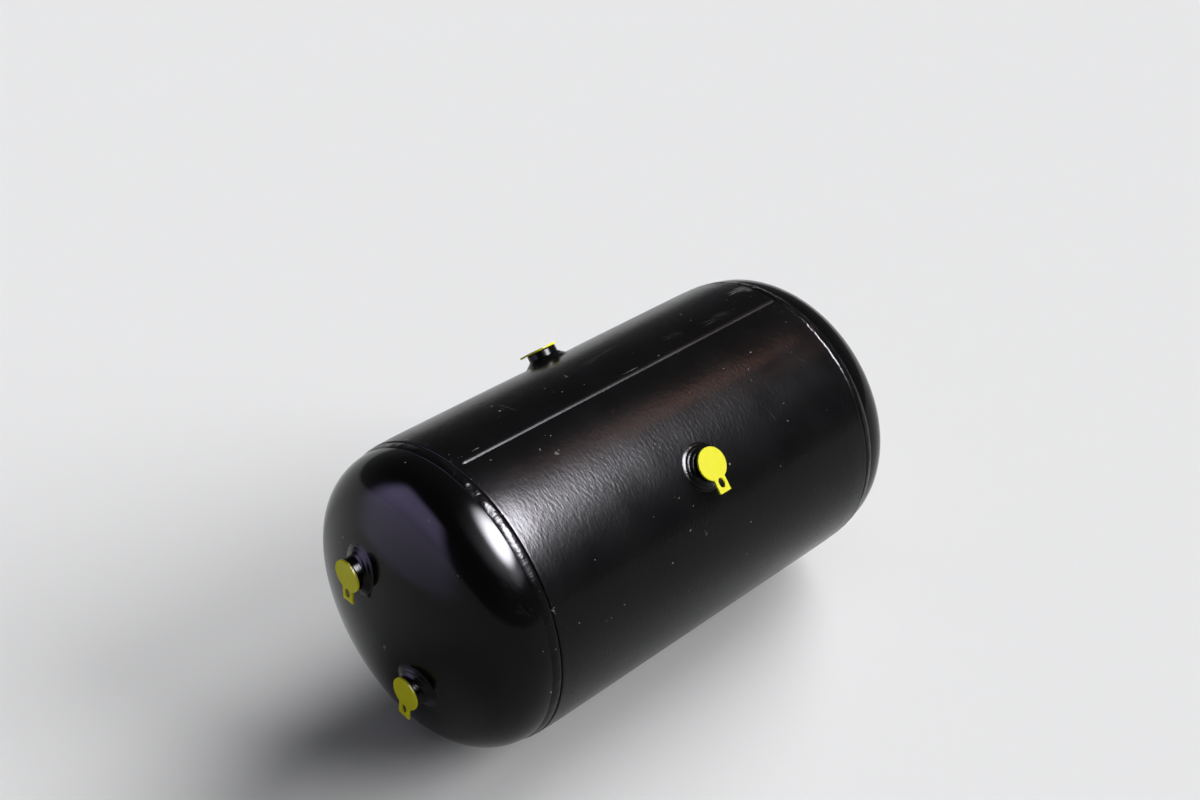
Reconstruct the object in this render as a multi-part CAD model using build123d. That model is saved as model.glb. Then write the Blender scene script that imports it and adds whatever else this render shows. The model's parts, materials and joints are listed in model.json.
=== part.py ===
from build123d import *
import os
from math import asin, cos, degrees, radians, sin, sqrt

# A horizontal compressed-air tank: a rolled steel shell closed by two dished heads, with six
# screwed ports that are shut by pull-off caps. Millimetres and degrees. The tank lies along X,
# Z is up, and the origin is on the floor under the middle of the shell. Angles round the tank
# start at the front, at -Y, and grow upwards.

# Shell: one sheet, rolled to a tube and closed by a butt weld along its length
SHELL_OD = 310.0
SHELL_WALL = 3.0
SHELL_LENGTH = 433.0
SEAM_ANGLE = 83.0
SEAM_GAP = 2.0

# Weld bead along the seam, which stops short of both ends of the shell
SEAM_BEAD_WIDTH = 5.0
SEAM_BEAD_HEIGHT = 0.8
SEAM_BEAD_STOP = 6.0

# Heads: torispherical dishes whose skirts slip into the ends of the shell
HEAD_WALL = 3.0
HEAD_CROWN_RADIUS = 300.0
HEAD_KNUCKLE_RADIUS = 50.0
HEAD_LAP = 14.0
HEAD_STANDOFF = 9.1

# Girth welds: fillets in the step between the shell's edge and the head's skirt
GIRTH_WELD_LEG = 9.0
GIRTH_WELD_BULGE = 0.8

# Ports: turned bosses set through the wall, at mid-length of the shell and on both heads
BOSS_OD = 31.0
BOSS_HEIGHT = 12.0
BOSS_DEPTH = 8.0
BOSS_CHAMFER = 1.0
PORT_BORE = 20.4
PORT_LEAD = 1.3
SIDE_PORT_ANGLE = 39.2
TOP_PORT_ANGLE = 129.2
HEAD_PORT_ANGLE = 128.5
HEAD_PORT_PITCH = 120.0

# Fillet welds round the bosses
PORT_WELD_HEIGHT = 6.0
PORT_WELD_WIDTH = 8.5
PORT_WELD_BULGE = 0.4

# Caps: moulded plugs with a flat disc, a hollow stem and a pull tab with an eye
CAP_DISC_OD = 33.0
CAP_DISC_THICKNESS = 2.0
CAP_EDGE = 0.5
CAP_STEM_LENGTH = 9.0
CAP_STEM_WALL = 1.6
CAP_STEM_CLEARANCE = 0.2
CAP_TAB_WIDTH = 14.0
CAP_TAB_REACH = 29.3
CAP_EYE_WIDTH = 7.0
CAP_EYE_LENGTH = 10.0
CAP_EYE_MARGIN = 4.5

# How far each cap's tab has swung from its straight way down
NEAR_UPPER_TAB_SWING = 3.0
NEAR_LOWER_TAB_SWING = 9.0
FAR_UPPER_TAB_SWING = -6.0
FAR_LOWER_TAB_SWING = 4.0

# Where round surfaces start and end, a little past the line that the tank lies on
SURFACE_START_ANGLE = 271.6

# How far a cutting shape runs past what it cuts
OVERRUN = 5.0

# Sizes that follow from those above
SHELL_RADIUS = SHELL_OD / 2
SKIRT_RADIUS = SHELL_RADIUS - SHELL_WALL
SHELL_END = SHELL_LENGTH / 2
TANGENT_X = SHELL_END + HEAD_STANDOFF
KNUCKLE_CENTRE_RADIUS = SKIRT_RADIUS - HEAD_KNUCKLE_RADIUS
CENTRE_RISE = sqrt((HEAD_CROWN_RADIUS - HEAD_KNUCKLE_RADIUS) ** 2 - KNUCKLE_CENTRE_RADIUS**2)
CROWN_CENTRE_X = TANGENT_X - CENTRE_RISE
BOSS_RADIUS = BOSS_OD / 2
HEAD_PORT_RADIUS = HEAD_PORT_PITCH / 2
AXIS_HEIGHT = SHELL_RADIUS


def outward(angle):
    """The way straight out from the tank's axis at an angle round the tank."""
    return Vector(0, -cos(radians(angle)), sin(radians(angle)))


def rod(radius, length):
    """A solid cylinder along the tank's axis."""
    start = outward(SURFACE_START_ANGLE)
    return Plane(origin=(0, 0, 0), x_dir=start, z_dir=(1, 0, 0)) * Cylinder(radius, length)


def dish(inset):
    """The body of a head at the +X end, from its skirt's edge to its apex, inset from the outside."""
    skirt = SKIRT_RADIUS - inset
    knuckle = HEAD_KNUCKLE_RADIUS - inset
    crown = HEAD_CROWN_RADIUS - inset
    skirt_end = SHELL_END - HEAD_LAP
    turn = degrees(asin((skirt - knuckle) / (crown - knuckle)))
    outline = [
        Line((skirt_end, 0), (skirt_end, skirt)),
        Line((skirt_end, skirt), (TANGENT_X, skirt)),
        CenterArc((TANGENT_X, skirt - knuckle), knuckle, turn, 90 - turn),
        CenterArc((CROWN_CENTRE_X, 0), crown, 0, turn),
        Line((CROWN_CENTRE_X + crown, 0), (skirt_end, 0)),
    ]
    return revolve(make_face(outline), Axis.X)


def shell_port_plane(angle, tab_way):
    """A port's plane on the shell: z points out, and x the way its cap's tab hangs round the shell."""
    out = outward(angle)
    round_the_shell = outward(angle + 90) * tab_way
    return Plane(origin=out * SHELL_RADIUS, x_dir=round_the_shell, z_dir=out)


def head_port_plane(end, angle, swing):
    """A port's plane on the head at one end: z points along the tank, and x the way its tab hangs."""
    rise = sqrt(HEAD_CROWN_RADIUS**2 - HEAD_PORT_RADIUS**2)
    place = outward(angle) * HEAD_PORT_RADIUS + Vector(end * (CROWN_CENTRE_X + rise), 0, 0)
    hang = Vector(0, sin(radians(swing)), -cos(radians(swing)))
    return Plane(origin=place, x_dir=hang, z_dir=(end, 0, 0))


def head_normal_plane(end, angle):
    """The plane that touches a head where a port's axis meets it."""
    plane = head_port_plane(end, angle, 0)
    normal = plane.origin - Vector(end * CROWN_CENTRE_X, 0, 0)
    return Plane(origin=plane.origin, x_dir=plane.x_dir, z_dir=normal.normalized())


def boss_hole(plane):
    """The round hole through the wall that a boss is set into."""
    return plane * Cylinder(BOSS_RADIUS, 2 * (BOSS_HEIGHT + BOSS_DEPTH))


def boss(plane):
    """A turned boss with a chamfered rim and a lead into its bore."""
    bore = PORT_BORE / 2
    section = Polyline(
        (bore, 0, -BOSS_DEPTH),
        (BOSS_RADIUS, 0, -BOSS_DEPTH),
        (BOSS_RADIUS, 0, BOSS_HEIGHT - BOSS_CHAMFER),
        (BOSS_RADIUS - BOSS_CHAMFER, 0, BOSS_HEIGHT),
        (bore + PORT_LEAD, 0, BOSS_HEIGHT),
        (bore, 0, BOSS_HEIGHT - PORT_LEAD),
        close=True,
    )
    return plane * revolve(make_face(section), Axis.Z)


def port_weld(plane, touching_plane, host):
    """A rounded fillet bead round a boss, cut to the wall that it lies on and to its boss."""
    toe = BOSS_RADIUS + PORT_WELD_WIDTH
    middle = Vector((BOSS_RADIUS + toe) / 2, 0, PORT_WELD_HEIGHT / 2)
    bulge = Vector(PORT_WELD_HEIGHT, 0, PORT_WELD_WIDTH).normalized() * PORT_WELD_BULGE
    foot = toe + PORT_WELD_WIDTH
    sunk = -PORT_WELD_HEIGHT
    section = [
        Line((0, 0, sunk), (0, 0, PORT_WELD_HEIGHT)),
        Line((0, 0, PORT_WELD_HEIGHT), (BOSS_RADIUS, 0, PORT_WELD_HEIGHT)),
        ThreePointArc((BOSS_RADIUS, 0, PORT_WELD_HEIGHT), middle + bulge, (toe, 0, 0)),
        Line((toe, 0, 0), (foot, 0, sunk)),
        Line((foot, 0, sunk), (0, 0, sunk)),
    ]
    bead = touching_plane * revolve(make_face(section), Axis.Z)
    return bead - host - boss_hole(plane)


def cap(plane):
    """A pull-off cap: a disc on the boss, a hollow stem down its bore and a tab with an eye."""
    eye_middle = CAP_TAB_REACH - CAP_EYE_MARGIN - CAP_EYE_LENGTH / 2
    face = Circle(CAP_DISC_OD / 2)
    face += Pos(CAP_TAB_REACH / 2, 0) * Rectangle(CAP_TAB_REACH, CAP_TAB_WIDTH)
    face -= Pos(eye_middle, 0) * Ellipse(CAP_EYE_LENGTH / 2, CAP_EYE_WIDTH / 2)
    plate = extrude(face, CAP_DISC_THICKNESS)
    plate = chamfer(plate.faces().sort_by(Axis.Z)[-1].outer_wire().edges(), CAP_EDGE)
    stem = PORT_BORE / 2 - CAP_STEM_CLEARANCE
    tube = Cylinder(stem, CAP_STEM_LENGTH) - Cylinder(stem - CAP_STEM_WALL, CAP_STEM_LENGTH)
    return plane * Pos(0, 0, BOSS_HEIGHT) * (plate + Pos(0, 0, -CAP_STEM_LENGTH / 2) * tube)


def girth_weld():
    """The fillet bead at the +X end, from the shell's edge down to the head's skirt."""
    toe_x = SHELL_END + GIRTH_WELD_LEG
    middle = Vector((SHELL_END + toe_x) / 2, (SHELL_RADIUS + SKIRT_RADIUS) / 2)
    bulge = Vector(SHELL_WALL, GIRTH_WELD_LEG).normalized() * GIRTH_WELD_BULGE
    section = [
        Line((SHELL_END, SKIRT_RADIUS), (SHELL_END, SHELL_RADIUS)),
        ThreePointArc((SHELL_END, SHELL_RADIUS), middle + bulge, (toe_x, SKIRT_RADIUS)),
        Line((toe_x, SKIRT_RADIUS), (SHELL_END, SKIRT_RADIUS)),
    ]
    return revolve(make_face(section), Axis.X)


def seam_slot():
    """The gap left between the sheet's two long edges, as a bar that runs through the wall."""
    depth = 2 * (SHELL_WALL + OVERRUN)
    plane = Plane(origin=outward(SEAM_ANGLE) * SHELL_RADIUS, x_dir=(1, 0, 0), z_dir=outward(SEAM_ANGLE))
    return plane * Box(SHELL_LENGTH + 2 * OVERRUN, SEAM_GAP, depth)


def seam_weld(sheet):
    """The weld that fills the seam, with its rounded bead on the outside."""
    bead_radius = ((SEAM_BEAD_WIDTH / 2) ** 2 + SEAM_BEAD_HEIGHT**2) / (2 * SEAM_BEAD_HEIGHT)
    bead_centre = outward(SEAM_ANGLE) * (SHELL_RADIUS + SEAM_BEAD_HEIGHT - bead_radius)
    bead = Pos(bead_centre) * rod(bead_radius, SHELL_LENGTH - 2 * SEAM_BEAD_STOP)
    bead -= rod(SHELL_RADIUS, SHELL_LENGTH)
    return bead + (sheet & seam_slot())


shell_ports = {
    "side_port": shell_port_plane(SIDE_PORT_ANGLE, -1),
    "top_port": shell_port_plane(TOP_PORT_ANGLE, 1),
}
head_ports = {
    "near_upper_port": (-1, HEAD_PORT_ANGLE, NEAR_UPPER_TAB_SWING),
    "near_lower_port": (-1, HEAD_PORT_ANGLE + 180, NEAR_LOWER_TAB_SWING),
    "far_upper_port": (1, HEAD_PORT_ANGLE, FAR_UPPER_TAB_SWING),
    "far_lower_port": (1, HEAD_PORT_ANGLE + 180, FAR_LOWER_TAB_SWING),
}

full_body = rod(SHELL_RADIUS, SHELL_LENGTH)
sheet = full_body - rod(SKIRT_RADIUS, SHELL_LENGTH + 2 * OVERRUN)
far_body = dish(0)
near_body = mirror(far_body, about=Plane.YZ)
far_wall = far_body - dish(HEAD_WALL)
near_wall = mirror(far_wall, about=Plane.YZ)
bodies = {-1: near_body, 1: far_body}
walls = {-1: near_wall, 1: far_wall}

pieces = {
    "seam_weld": seam_weld(sheet),
    "far_girth_weld": girth_weld(),
    "near_girth_weld": mirror(girth_weld(), about=Plane.YZ),
}
shell = sheet - seam_slot()

for name, plane in shell_ports.items():
    shell -= boss_hole(plane)
    pieces[f"{name}_boss"] = boss(plane)
    pieces[f"{name}_weld"] = port_weld(plane, plane, full_body)
    pieces[f"{name}_cap"] = cap(plane)

for name, (end, angle, swing) in head_ports.items():
    plane = head_port_plane(end, angle, swing)
    touching_plane = head_normal_plane(end, angle)
    walls[end] -= boss_hole(plane)
    pieces[f"{name}_boss"] = boss(plane)
    pieces[f"{name}_weld"] = port_weld(plane, touching_plane, bodies[end])
    pieces[f"{name}_cap"] = cap(plane)

pieces["shell"] = shell
pieces["near_head"] = walls[-1]
pieces["far_head"] = walls[1]

os.makedirs("parts", exist_ok=True)
for name, piece in pieces.items():
    export_step(Pos(0, 0, AXIS_HEIGHT) * piece, f"parts/{name}.step")
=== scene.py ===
# %% [markdown]
# # A compressed-air tank, lying on its side
# The real tank is one steel sheet rolled to a tube, two pressed heads, and six turned necks, all welded
# together and then painted black in one go. Yellow plastic caps keep dirt out of the threads. The packed
# model gives every size and place. This lesson makes the skin that the eye sees: weld beads with ripples,
# thick glossy paint, and moulded caps. It starts by loading that model and by setting the camera.

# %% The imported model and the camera
import json
from functools import reduce
from math import asin, cos, pi, radians, sin, sqrt

import bmesh
import bpy
import numpy as np
from mathutils import Matrix, Quaternion, Vector


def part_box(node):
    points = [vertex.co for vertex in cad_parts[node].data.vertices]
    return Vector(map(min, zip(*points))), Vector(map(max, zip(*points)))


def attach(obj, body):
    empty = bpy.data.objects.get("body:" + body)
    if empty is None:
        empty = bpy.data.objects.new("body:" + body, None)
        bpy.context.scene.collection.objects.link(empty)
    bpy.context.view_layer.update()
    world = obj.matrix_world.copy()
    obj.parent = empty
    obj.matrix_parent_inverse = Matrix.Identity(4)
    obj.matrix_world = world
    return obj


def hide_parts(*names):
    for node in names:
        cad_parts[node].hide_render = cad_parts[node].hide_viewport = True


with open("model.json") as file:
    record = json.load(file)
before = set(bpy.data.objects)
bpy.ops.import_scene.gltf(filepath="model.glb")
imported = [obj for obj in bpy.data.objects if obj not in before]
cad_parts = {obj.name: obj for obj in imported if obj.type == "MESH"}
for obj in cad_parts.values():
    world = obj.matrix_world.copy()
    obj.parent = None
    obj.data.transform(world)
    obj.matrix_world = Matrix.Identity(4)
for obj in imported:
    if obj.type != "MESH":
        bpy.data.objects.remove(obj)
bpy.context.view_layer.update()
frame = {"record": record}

CAMERA_PLACE = (-0.9785, -0.9776, 1.1556)
CAMERA_AIM = (0.1195, 0.1413, 0.1550)
CAMERA_LENS = 50.24
SENSOR_WIDTH = 36.0


def put(data):
    """An object in the scene for a mesh, a curve, a lamp or a camera."""
    made = bpy.data.objects.new(data.name, data)
    bpy.context.scene.collection.objects.link(made)
    return made


def aimed(data, place, aim, turn=0.0):
    """A lamp or a camera at a place, aimed at another place and turned about its own axis."""
    made = put(data)
    made.location = place
    made.rotation_mode = "QUATERNION"
    to_aim = (Vector(aim) - Vector(place)).to_track_quat("-Z", "Y")
    made.rotation_quaternion = to_aim @ Quaternion((0.0, 0.0, 1.0), turn)
    return made


camera_data = bpy.data.cameras.new("camera")
camera_data.lens = CAMERA_LENS
camera_data.sensor_width = SENSOR_WIDTH
bpy.context.scene.camera = aimed(camera_data, CAMERA_PLACE, CAMERA_AIM)

# %% [markdown]
# ## The tank's own measures
# Everything on the tank is placed by two numbers: how far along it, and at what angle round it. The angle
# starts at the front and grows upwards. The strap seats in the record give the shell's radius, and the
# boxes of the shell and the far head give the lengths.

# %% Measures from the frame
SHELL_WALL = 0.003
HEAD_WALL = 0.003
HEAD_CROWN = 0.300
HEAD_KNUCKLE = 0.050
SEAM_ANGLE = radians(83.0)
QUARTER = pi / 2
ENDS = {"near": -1, "far": 1}

MILLIMETRES = 1000.0
RADIUS = frame["record"]["mounts"][0]["dims"]["r_mm"] / MILLIMETRES
AXIS_HEIGHT = RADIUS
SHELL_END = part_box("shell")[1].x
HEAD_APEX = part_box("far_head")[1].x
HEAD_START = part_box("far_head")[0].x
SKIRT = RADIUS - SHELL_WALL
CROWN_CENTRE = HEAD_APEX - HEAD_CROWN
TANGENT_X = CROWN_CENTRE + sqrt((HEAD_CROWN - HEAD_KNUCKLE) ** 2 - (SKIRT - HEAD_KNUCKLE) ** 2)


def outward(angle):
    """The way straight out from the tank's axis at an angle round the tank."""
    return Vector((0.0, -cos(angle), sin(angle)))


def round_tank(x, radius, angle):
    """Points at places along the tank, distances from its axis and angles round it, as an array."""
    x, radius, angle = np.broadcast_arrays(x, radius, angle)
    return np.stack([x, -np.cos(angle) * radius, np.sin(angle) * radius + AXIS_HEIGHT], axis=-1)


def full_turn(steps, start=0.0):
    """Angles in even steps, once round."""
    return start + np.linspace(0.0, 2 * pi, steps, endpoint=False)


print(f"radius {RADIUS:.4f}, shell end {SHELL_END:.4f}, head apex {HEAD_APEX:.4f}, tangent {TANGENT_X:.4f}")

# %% [markdown]
# ## Grids of points
# Every painted piece here is a grid of points that is bent round something: a tube, a dish, a bead. Working
# the points out as one array keeps the formula of the shape in plain sight. Its columns go once round and
# close on themselves, and its rows do where the piece does. Points that meet, as at a dish's middle, are
# merged, and then all faces are turned outwards.

# %% Helpers for meshes and pieces
PAINT_SLOT = "black_paint"
PLASTIC_SLOT = "yellow_plastic"
MERGE_DISTANCE = 1e-7


def tidy(mesh):
    """Merges points that meet and turns all faces outwards."""
    work = bmesh.new()
    work.from_mesh(mesh)
    bmesh.ops.remove_doubles(work, verts=work.verts, dist=MERGE_DISTANCE)
    bmesh.ops.recalc_face_normals(work, faces=work.faces)
    work.to_mesh(mesh)
    work.free()


def grid_mesh(name, points, wrap_rows=False, **values):
    """A mesh over a grid of points, which may close on itself along its rows, with point values."""
    rows, columns = points.shape[:2]
    index = np.arange(rows * columns).reshape(rows, columns)
    if wrap_rows:
        index = np.vstack([index, index[:1]])
    index = np.hstack([index, index[:, :1]])
    corners = [index[:-1, :-1], index[:-1, 1:], index[1:, 1:], index[1:, :-1]]
    faces = np.stack(corners, axis=-1).reshape(-1, 4)
    mesh = bpy.data.meshes.new(name)
    mesh.from_pydata(points.reshape(-1, 3).tolist(), [], faces.tolist())
    for value_name, value in values.items():
        kind, field = ("FLOAT_VECTOR", "vector") if value.ndim == 3 else ("FLOAT", "value")
        layer = mesh.attributes.new(value_name, kind, "POINT")
        layer.data.foreach_set(field, value.astype(np.float32).ravel())
    tidy(mesh)
    return mesh


def evaluated(made):
    """The mesh that an object has with its modifiers. The object and its modifiers are removed."""
    graph = bpy.context.evaluated_depsgraph_get()
    mesh = bpy.data.meshes.new_from_object(made.evaluated_get(graph), depsgraph=graph)
    mesh.name = made.name
    made.modifiers.clear()
    bpy.data.objects.remove(made)
    return mesh


def finish_piece(name, mesh, material, slot, *nodes):
    """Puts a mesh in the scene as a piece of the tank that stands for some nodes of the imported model."""
    mesh.name = name
    mesh.materials.clear()
    mesh.materials.append(material)
    mesh.shade_smooth()
    piece = put(mesh)
    piece.name = name
    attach(piece, "root")
    if nodes:
        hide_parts(*nodes)
    triangles = sum(len(face.vertices) - 2 for face in mesh.polygons)
    print(f"{name}: {triangles} triangles, stands for {', '.join(nodes) or 'nothing'}")
    return piece


# %% [markdown]
# ## Helpers for node trees
# A node tree written in code is hard to read if every link is a line of its own. These helpers take numbers
# or sockets alike, so a formula in nodes reads nearly like one in Python. The same Math and Noise nodes
# work in Geometry Nodes and in materials.

# %% Helpers for nodes


def feed(tree, socket, value):
    """Gives a socket a link, or a plain value."""
    if isinstance(value, bpy.types.NodeSocket):
        tree.links.new(value, socket)
    else:
        socket.default_value = value


def node(tree, kind, settings=None, **inputs):
    """A new node with its settings made and its inputs fed. Spaces in input names are underscores here."""
    made = tree.nodes.new(kind)
    for name, value in (settings or {}).items():
        setattr(made, name, value)
    for name, value in inputs.items():
        feed(tree, made.inputs[name.replace("_", " ")], value)
    return made


def result(tree, kind, settings, *values):
    """The first output of a new node whose inputs are fed in their order."""
    made = node(tree, kind, settings)
    for socket, value in zip(made.inputs, values):
        feed(tree, socket, value)
    return made.outputs[0]


def calc(tree, operation, *values):
    """A Math node on numbers or sockets."""
    return result(tree, "ShaderNodeMath", {"operation": operation}, *values)


def times(tree, *values):
    """Numbers or sockets multiplied together."""
    return reduce(lambda first, second: calc(tree, "MULTIPLY", first, second), values)


def largest(tree, *values):
    """The largest of some numbers or sockets."""
    return reduce(lambda first, second: calc(tree, "MAXIMUM", first, second), values)


def divided(tree, first, second):
    """A number or socket divided by another."""
    return calc(tree, "DIVIDE", first, second)


def vector_calc(tree, operation, *values):
    """A Vector Math node on vectors or sockets."""
    return result(tree, "ShaderNodeVectorMath", {"operation": operation}, *values)


def ramp(tree, value, from_low, from_high, to_low=0.0, to_high=1.0):
    """A value mapped smoothly from one range to another, and held at the ends."""
    smooth = {"interpolation_type": "SMOOTHSTEP"}
    return result(tree, "ShaderNodeMapRange", smooth, value, from_low, from_high, to_low, to_high)


def noise(tree, vector, scale, detail=2.0, roughness=0.5, seed=0.0):
    """A noise value from 0 to 1 at a vector. The seed picks another noise of the same kind."""
    made = node(tree, "ShaderNodeTexNoise", {"noise_dimensions": "4D"}, Vector=vector, W=seed, Scale=scale,
                Detail=detail, Roughness=roughness)
    return made.outputs[0]


# %% Helpers for node groups
SOCKET_KINDS = {float: "NodeSocketFloat", int: "NodeSocketInt"}
FLOAT = SOCKET_KINDS[float]
GEOMETRY = "NodeSocketGeometry"
MATERIAL = "NodeSocketMaterial"


def new_group(name, kind, inputs, outputs):
    """An empty node group and its two ends. An input has a usual value, or else the kind of its socket."""
    tree = bpy.data.node_groups.new(name, kind)
    for socket_name, usual in inputs.items():
        socket_kind = SOCKET_KINDS.get(type(usual), usual)
        socket = tree.interface.new_socket(name=socket_name, in_out="INPUT", socket_type=socket_kind)
        if socket_kind != usual:
            socket.default_value = usual
    for socket_name, socket_kind in outputs.items():
        tree.interface.new_socket(name=socket_name, in_out="OUTPUT", socket_type=socket_kind)
    return tree, tree.nodes.new("NodeGroupInput").outputs, tree.nodes.new("NodeGroupOutput").inputs


def counted(tree):
    """Prints how many nodes a finished group has."""
    print(f"{tree.name}: {len(tree.nodes)} nodes")
    return tree


def grow(mesh, tree, **inputs):
    """The plain mesh that a Geometry Nodes tree makes from a mesh, with the tree's inputs by name."""
    made = put(mesh)
    modifier = made.modifiers.new("grow", "NODES")
    modifier.node_group = tree
    for item in tree.interface.items_tree:
        key = item.name.replace(" ", "_").lower()
        if item.in_out == "INPUT" and key in inputs:
            modifier[item.identifier] = inputs[key]
    return evaluated(made)


# %% [markdown]
# ## Thick black paint
# The paint is a sprayed gloss enamel. Close up it is never flat: it has the dimples that painters call
# orange peel, and on the shell short streaks that run round the tank, left in the sheet by the rolls. Both
# only show in the highlights. They are heights for a Bump node, in metres, so their scale is real. One
# group makes both, and each material sets how deep they are.

# %% Shader group: the paint's skin
WANDER_SCALE = 9.0
WANDER_REACH = 0.006
MOTTLE_SCALE = 22.0


def tank_coordinates(tree):
    """Object coordinates, the place along the tank and the arc round it, as three sockets."""
    spot = node(tree, "ShaderNodeTexCoord").outputs["Object"]
    from_axis = vector_calc(tree, "SUBTRACT", spot, (0.0, 0.0, AXIS_HEIGHT))
    parts = node(tree, "ShaderNodeSeparateXYZ", Vector=from_axis).outputs
    angle = calc(tree, "ARCTAN2", parts["Y"], parts["Z"])
    return spot, parts["X"], times(tree, angle, RADIUS)


def paint_skin_group():
    """The heights of the paint's peel and streaks, and a mottle for its colour and gloss."""
    tree, given, made = new_group(
        "paint skin",
        "ShaderNodeTree",
        {
            "Peel Size": 0.004,
            "Peel Depth": 0.00002,
            "Streak Width": 0.003,
            "Streak Length": 0.06,
            "Streak Depth": 0.0,
        },
        {"Height": FLOAT, "Mottle": FLOAT},
    )
    spot, along, arc = tank_coordinates(tree)
    peel = noise(tree, spot, divided(tree, 1.0, given["Peel Size"]))
    wander = noise(tree, spot, WANDER_SCALE, detail=1.0, seed=3.0)
    along = calc(tree, "MULTIPLY_ADD", wander, WANDER_REACH, along)
    streak_spot = node(
        tree,
        "ShaderNodeCombineXYZ",
        X=divided(tree, along, given["Streak Width"]),
        Y=divided(tree, arc, given["Streak Length"]),
    ).outputs[0]
    streak = noise(tree, streak_spot, 1.0, seed=7.0)
    peel_height = times(tree, peel, given["Peel Depth"])
    streak_height = times(tree, streak, given["Streak Depth"])
    feed(tree, made["Height"], calc(tree, "ADD", peel_height, streak_height))
    feed(tree, made["Mottle"], noise(tree, spot, MOTTLE_SCALE, detail=4.0, seed=11.0))
    return tree


PAINT_SKIN = counted(paint_skin_group())

# %% [markdown]
# Dust and small chips lie all over a tank that has stood in a works. A Voronoi texture gives one random dot
# a cell, and a random share of the cells keep theirs. A fine noise bends the dots into ragged chips, and
# some are fainter than others. Larger nicks are torn: a noise takes part of each away.

# %% Shader group: specks of dust
RAGGED_SCALE = 600.0
RAGGED_BEND = 0.0024
TORN_SCALE = 420.0
FAINTEST = 0.2
NOISE_MIDDLE = 0.5


def specks_group():
    """A mask of ragged dots."""
    tree, given, made = new_group(
        "specks",
        "ShaderNodeTree",
        {"Spacing": 0.02, "Size": 0.0006, "Share": 0.3, "Torn": 0.0},
        {"Mask": FLOAT},
    )
    spot = node(tree, "ShaderNodeTexCoord").outputs["Object"]
    bend = node(tree, "ShaderNodeTexNoise", Vector=spot, Scale=RAGGED_SCALE, Detail=2.0).outputs["Color"]
    bend = vector_calc(tree, "SUBTRACT", bend, (NOISE_MIDDLE,) * 3)
    spot = vector_calc(tree, "ADD", spot, vector_calc(tree, "MULTIPLY", bend, (RAGGED_BEND,) * 3))
    cell_scale = divided(tree, 1.0, given["Spacing"])
    cells = node(tree, "ShaderNodeTexVoronoi", Vector=spot, Scale=cell_scale).outputs
    luck = node(tree, "ShaderNodeSeparateColor", Color=cells["Color"]).outputs
    reach = divided(tree, given["Size"], given["Spacing"])
    inside = calc(tree, "LESS_THAN", cells["Distance"], times(tree, reach, luck["Green"]))
    kept = calc(tree, "LESS_THAN", luck["Red"], given["Share"])
    strength = calc(tree, "MULTIPLY_ADD", luck["Blue"], 1.0 - FAINTEST, FAINTEST)
    whole = calc(tree, "GREATER_THAN", noise(tree, spot, TORN_SCALE, seed=5.0), given["Torn"])
    feed(tree, made["Mask"], times(tree, inside, kept, strength, whole))
    return tree


SPECKS = counted(specks_group())

# %% [markdown]
# A tank that has been moved about has scuffs: patches of fine pale scratches that all run one way. Each
# patch has a place along the tank and round it, a length, a width and a turn. Inside it a noise that is
# stretched along the patch makes the scratches, and the patch fades at its edges. The same patches also
# paint pale lines beside the seam as painted highlights, and a faint painted glow under the near head's
# rim.

# %% Shader group: a patch of pale lines, for scuffs and painted highlights
PALE_LINE_WIDTH = 0.0011
PALE_LINE_FAINT = 0.48
PALE_LINE_CLEAR = 0.70
FULL_LENGTH_SHARE = 0.3
FULL_WIDTH_SHARE = 0.2


def scuff_and_highlight_group():
    """A mask of pale lines in one patch, for scratches and for painted highlights."""
    tree, given, made = new_group(
        "scuff_and_highlight",
        "ShaderNodeTree",
        {
            "Along": 0.0,
            "Angle": 0.0,
            "Half Length": 0.02,
            "Half Width": 0.004,
            "Turn": 0.0,
            "Amount": 1.0,
        },
        {"Mask": FLOAT},
    )
    along, arc = tank_coordinates(tree)[1:]
    along = calc(tree, "SUBTRACT", along, given["Along"])
    place_arc = times(tree, calc(tree, "SUBTRACT", given["Angle"], QUARTER), RADIUS)
    arc = calc(tree, "SUBTRACT", arc, place_arc)
    flat = node(tree, "ShaderNodeCombineXYZ", X=along, Y=arc).outputs[0]
    about_z = {"rotation_type": "Z_AXIS"}
    turned_spot = node(tree, "ShaderNodeVectorRotate", about_z, Vector=flat, Angle=given["Turn"]).outputs[0]
    parts = node(tree, "ShaderNodeSeparateXYZ", Vector=turned_spot).outputs
    lengthways = divided(tree, calc(tree, "ABSOLUTE", parts["X"]), given["Half Length"])
    sideways = divided(tree, calc(tree, "ABSOLUTE", parts["Y"]), given["Half Width"])
    long_fade = ramp(tree, lengthways, FULL_LENGTH_SHARE, 1.0, 1.0, 0.0)
    wide_fade = ramp(tree, sideways, FULL_WIDTH_SHARE, 1.0, 1.0, 0.0)
    stretched = node(
        tree,
        "ShaderNodeCombineXYZ",
        X=divided(tree, parts["X"], given["Half Length"]),
        Y=divided(tree, parts["Y"], PALE_LINE_WIDTH),
    ).outputs[0]
    lines = noise(tree, stretched, 1.0, detail=1.0, seed=given["Along"])
    lines = ramp(tree, lines, PALE_LINE_FAINT, PALE_LINE_CLEAR)
    feed(tree, made["Mask"], times(tree, long_fade, wide_fade, lines, given["Amount"]))
    return tree


SCUFF_AND_HIGHLIGHT_GROUP = counted(scuff_and_highlight_group())

# %% [markdown]
# Each painted surface is the same paint with its own skin, so one function makes all of them. The black is
# nearly without colour, and what the eye sees on it is reflection. Its gloss is nearly even over a surface,
# with only a little mottle in the roughness. The scuffs and painted highlights of the shell, and the
# painted glow under the near head's rim, are lists of places, one line a patch.

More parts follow.
